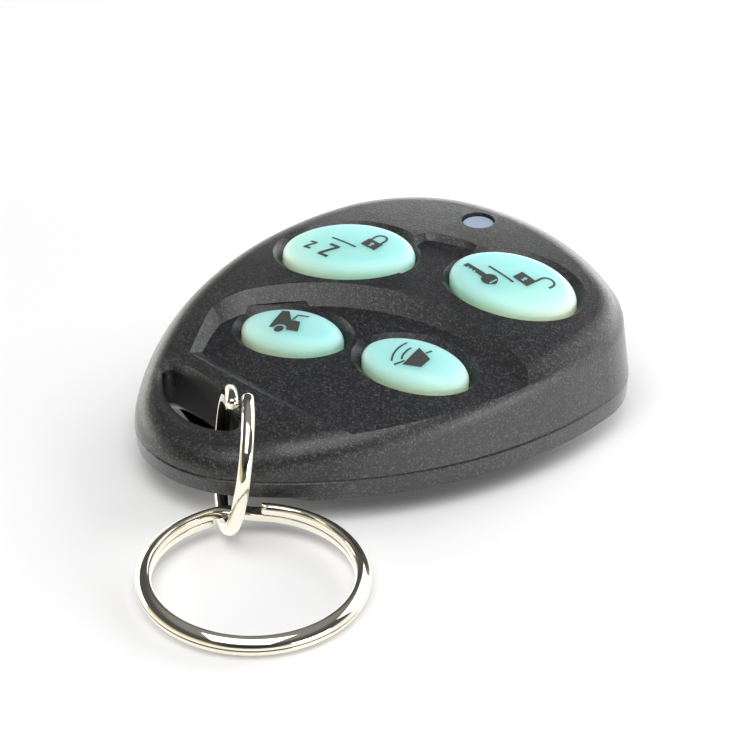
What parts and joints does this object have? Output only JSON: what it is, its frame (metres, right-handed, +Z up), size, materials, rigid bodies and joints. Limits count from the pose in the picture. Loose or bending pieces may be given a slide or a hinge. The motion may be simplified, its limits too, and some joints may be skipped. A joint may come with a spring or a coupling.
{
  "type": "car alarm remote",
  "caption": "Rounded black key-ring remote with mint rubber keys, a small lamp window, a round wire ring through its slot and a double-coil split ring.",
  "frame": {"origin": "middle of the flat resting face under the case, +Z up", "axes": "+Y towards the wide lamp end, +X to the right along the key rows, +Z up through the keys"},
  "size_m": [0.0482, 0.0753, 0.0165],
  "materials": {
    "case_plastic": "black, spark-eroded grain on top, smoother sides",
    "key_rubber": "mint, translucent, matte",
    "web_rubber": "mint, matte",
    "lens_plastic": "pale frosted lens",
    "ring_steel": "nickel plated, polished",
    "board_laminate": "green solder mask",
    "component_black": "moulded black",
    "component_metal": "plain metal can",
    "contact_steel": "bright spring strip",
    "cell_steel": "satin can",
    "screw_steel": "dark zinc",
    "chip_ceramic": "small parts",
    "lamp_body": "clear resin"
  },
  "bodies": {
    "housing": {"top_shell": "case_plastic", "bottom_shell": "case_plastic", "large_key_web": "web_rubber", "small_key_web": "web_rubber", "led_light_pipe": "lens_plastic", "circuit_board": "board_laminate", "lock_switch": "component_metal", "unlock_switch": "component_metal", "trunk_switch": "component_metal", "horn_switch": "component_metal", "microcontroller": "component_black", "radio_chip": "component_black", "crystal": "component_metal", "led_chip": "lamp_body", "piezo_sounder": "component_black", "chip_parts": "chip_ceramic", "antenna_loop": "component_metal", "coin_cell": "cell_steel", "positive_contact": "contact_steel", "negative_contact": "contact_steel", "case_screws": "screw_steel"},
    "lock_button": {"lock_key": "key_rubber", "lock_plunger": "component_black"},
    "unlock_button": {"unlock_key": "key_rubber", "unlock_plunger": "component_black"},
    "trunk_button": {"trunk_key": "key_rubber", "trunk_plunger": "component_black"},
    "horn_button": {"horn_key": "key_rubber", "horn_plunger": "component_black"},
    "jump_ring": {"jump_ring": "ring_steel"},
    "split_ring": {"split_ring": "ring_steel"}
  },
  "joints": [
    {"name": "lock_press", "type": "slide", "parent": "housing", "child": "lock_button", "axis": [0, 0, -1], "range_m": [0, 0.0005], "stiffness_N_per_m": 1200},
    {"name": "unlock_press", "type": "slide", "parent": "housing", "child": "unlock_button", "axis": [0, 0, -1], "range_m": [0, 0.0005], "stiffness_N_per_m": 1200},
    {"name": "trunk_press", "type": "slide", "parent": "housing", "child": "trunk_button", "axis": [0, 0, -1], "range_m": [0, 0.0005], "stiffness_N_per_m": 1200},
    {"name": "horn_press", "type": "slide", "parent": "housing", "child": "horn_button", "axis": [0, 0, -1], "range_m": [0, 0.0005], "stiffness_N_per_m": 1200},
    {"name": "jump_ring_turn", "type": "hinge", "parent": "housing", "child": "jump_ring", "pos_m": [-0.00495, -0.02639, 0.0084], "axis": [-0.7586, -0.6365, 0.1392], "range_deg": [0, 50]},
    {"name": "split_ring_flip", "type": "hinge", "parent": "jump_ring", "child": "split_ring", "pos_m": [-0.00385, -0.0279, 0.0032], "axis": [-0.7853, -0.6191, 0], "range_deg": [0, 75]}
  ]
}
